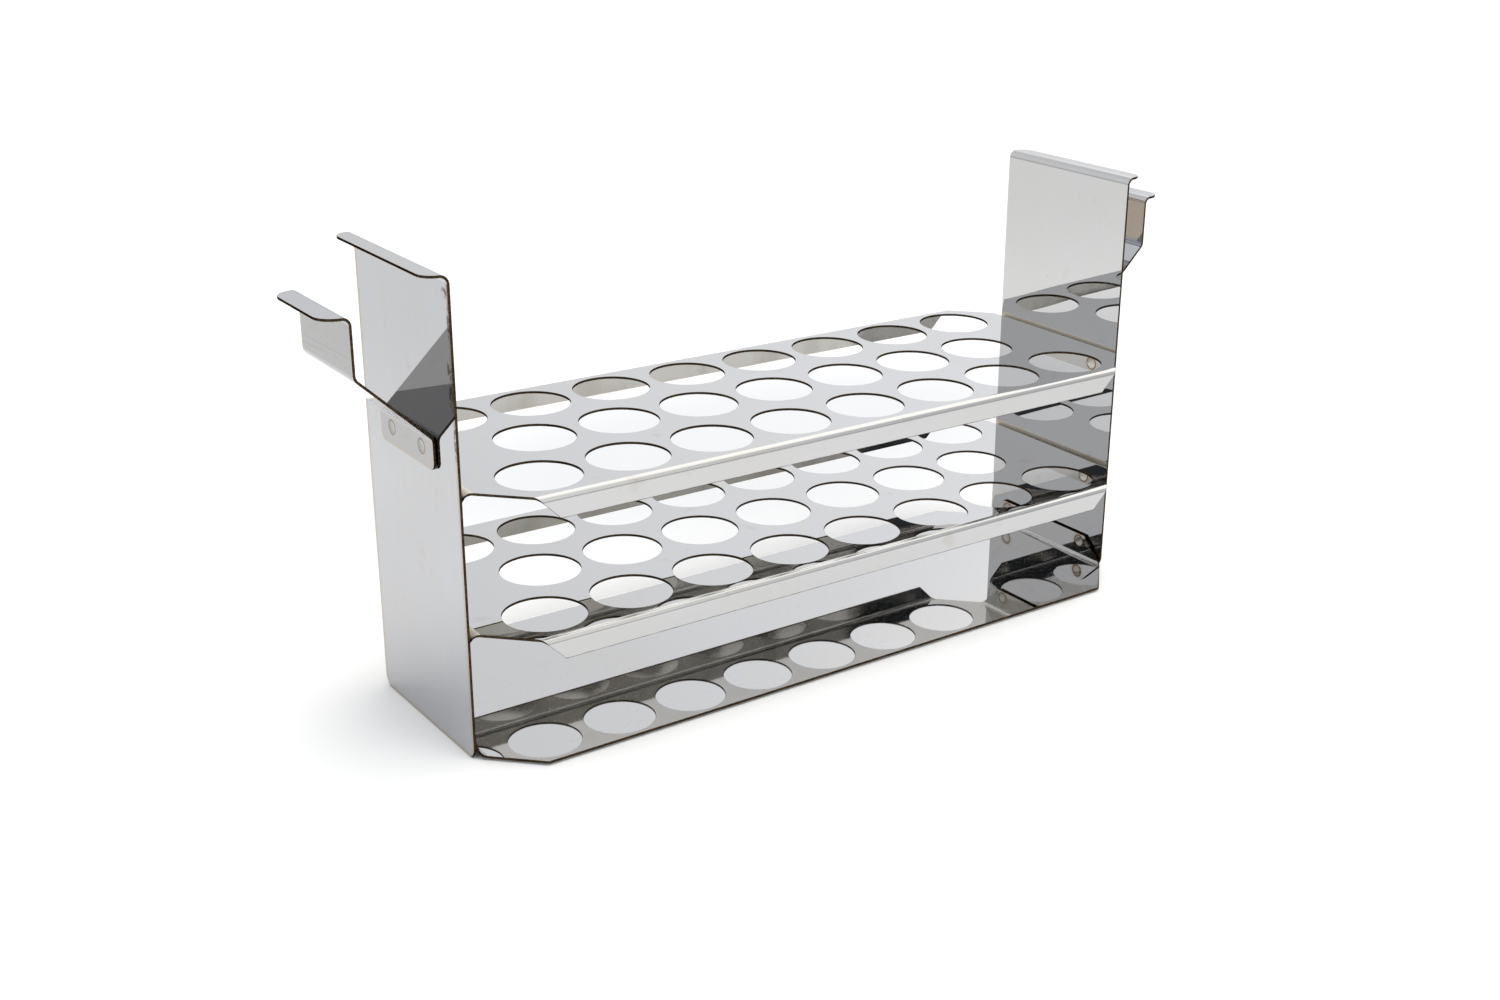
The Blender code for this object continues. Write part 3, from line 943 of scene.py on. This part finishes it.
def build_camera():
    data = bpy.data.cameras.new("camera")
    data.sensor_width = SENSOR_MM
    data.lens = FOCAL_PIXELS * SENSOR_MM / IMAGE_WIDTH
    data.shift_x = 0.5 - PRINCIPAL_POINT[0] / IMAGE_WIDTH
    data.shift_y = (PRINCIPAL_POINT[1] - IMAGE_HEIGHT / 2) / IMAGE_WIDTH
    data.clip_start, data.clip_end = CLIP_START, CLIP_END
    azimuth, elevation = CAMERA_AZIMUTH, CAMERA_ELEVATION
    forward = Vector((-sin(azimuth) * cos(elevation), cos(azimuth) * cos(elevation), -sin(elevation)))
    right = Vector((cos(azimuth), sin(azimuth), 0.0))
    up = right.cross(forward)
    x = right * cos(CAMERA_ROLL) + up * sin(CAMERA_ROLL)
    y = up * cos(CAMERA_ROLL) - right * sin(CAMERA_ROLL)
    camera = bpy.data.objects.new("camera", data)
    turn = Matrix((x, y, -forward)).transposed()
    camera.matrix_world = Matrix.Translation(CAMERA_PLACE) @ turn.to_4x4()
    bpy.context.scene.collection.objects.link(camera)
    bpy.context.scene.camera = camera


def set_view():
    """Plain tones, and enough bounces for sheets that mirror one another."""
    scene = bpy.context.scene
    scene.view_settings.view_transform = "Standard"
    scene.view_settings.look = "None"
    scene.cycles.max_bounces = 16
    scene.cycles.glossy_bounces = 14
    scene.cycles.caustics_reflective = True
    scene.cycles.sample_clamp_indirect = 4.0


# ---------------------------------------------------------------- the rack

def build_shelves(edge, tab_welds):
    outline = (0.0, shelf_length(SHELF_START_X, TAB_DROP), shelf_length(SHELF_START_Y, FLANGE_DROP))
    # Under side: its pale band along the edges is a painted highlight of the rounded edges
    under_side = sheet_steel(
        "shelf_under_side", STEEL_BACK, gloss=0.07, weld_at=tab_welds, weld_tint=0.6, outline=outline,
        stains=0.0, flange_colour=STEEL_FLANGE_BACK,
    )
    for name, top, offset, lean in (
        ("upper_shelf", UPPER_HIGH.z, (1.3, 0.4, 0.0), None),
        ("middle_shelf", MIDDLE_HIGH.z, (4.1, 2.2, 0.0), MIDDLE_SHELF_LEAN),
    ):
        upper_side = sheet_steel(
            name + "_top", STEEL, weld_at=tab_welds, weld_tint=0.6, outline=outline, edge_band=0.0003,
            edge_colour=DARK_EDGE_LINE, offset=offset, lean=lean, rough_highlit_tabs=0.35,
        )
        build_shelf(name, top, [upper_side, edge, under_side])


def build_ends(edge):
    """End plates and hook brackets. The left plate has rust marks along its front edge, the left bracket has
    scratches, and the right plate leans."""
    plate_end = PLATE_HIGH.z + PLATE_HIGH.x - PLATE_MIDDLE_X
    plate_outline = (plate_end / 2, plate_end / 2, PLATE_HIGH.y)
    bracket_outline = (BRACKET_BAND_HALF_LENGTH, BRACKET_BAND_HALF_LENGTH, BRACKET_HIGH.y)
    weld = weld_spot("right", "hook", "back")
    hook_welds = (weld.z - BRACKET_LOW.z, weld.y)
    knee_end, riser_end = bracket_lengths()[1] + STRUT_ANGLE * STRUT_FOLD, bracket_lengths()[2]
    for name, side, marks, lean, scratches, stretch_colour in (
        ("left", -1, LEFT_PLATE_MARKS, None, LEFT_BRACKET_SCRATCHES, (0.0, riser_end, STEEL_DULL)),
        ("right", 1, (), RIGHT_PLATE_LEAN, (), (knee_end, riser_end, STEEL_WARM)),
    ):
        # Outer face: painted shade in a darker, cooler copy of the steel, and a painted highlight in the tan
        # edge band
        outside = sheet_steel(
            name + "_end_plate_outside", STEEL_SHADED_COOL, gloss=0.014, outline=plate_outline, edge_band=0.0016,
            edge_colour=TAN_EDGE_HIGHLIGHT, offset=(side * 2.7, 0.9, 0.0), marks=marks,
        )
        inside = sheet_steel(
            name + "_end_plate_inside", STEEL, gloss=0.014, offset=(5.3, 0.7, 0.0), lean=lean,
        )
        build_plate(f"{name}_end_plate", side, [outside, edge, inside])
        # Outer face: the tan band along its edges is a painted highlight of the rounded edge
        bracket_outside = sheet_steel(
            name + "_bracket_outside", STEEL_BRACKET, gloss=0.05, weld_at=hook_welds, weld_tint=0.18,
            outline=bracket_outline, edge_band=0.0009, edge_colour=TAN_EDGE_HIGHLIGHT, offset=(side * 1.9, 3.3, 0.0),
            stains=0.5, speckle=0.07, scratches=scratches,
        )
        bracket_inside = sheet_steel(
            name + "_bracket_inside", STEEL_LIP, gloss=0.03, offset=(side * 0.6, 5.1, 0.0),
            stretch_colour=stretch_colour,
        )
        build_bracket(f"{name}_hook_bracket", side, [bracket_outside, edge, bracket_inside])


def build_welds():
    tab_weld = weld_material("brown_rimmed_weld", TAB_WELD_FACE, TINT_BROWN)
    hook_weld = weld_material("straw_rimmed_weld", HOOK_WELD_FACE, TINT_RIM)
    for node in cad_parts:
        if node.startswith("weld_"):
            build_weld(node, hook_weld if "_hook_" in node else tab_weld)


def main():
    edge = cut_edge_material()
    tab_welds = tab_weld_place()
    build_shelves(edge, tab_welds)
    base_top = sheet_steel(
        "base_top", STEEL, gloss=0.014, weld_at=tab_welds, weld_tint=0.8, offset=(3.1, 1.7, 0.0),
        stains=0.12, dust=0.4,
    )
    base_back = sheet_steel("base_under_side", STEEL_BACK, gloss=0.03)
    build_base([base_top, edge, base_back])
    build_ends(edge)
    build_welds()
    build_floor()
    build_world()
    add_overhead_light()
    build_camera()
    set_view()


main()
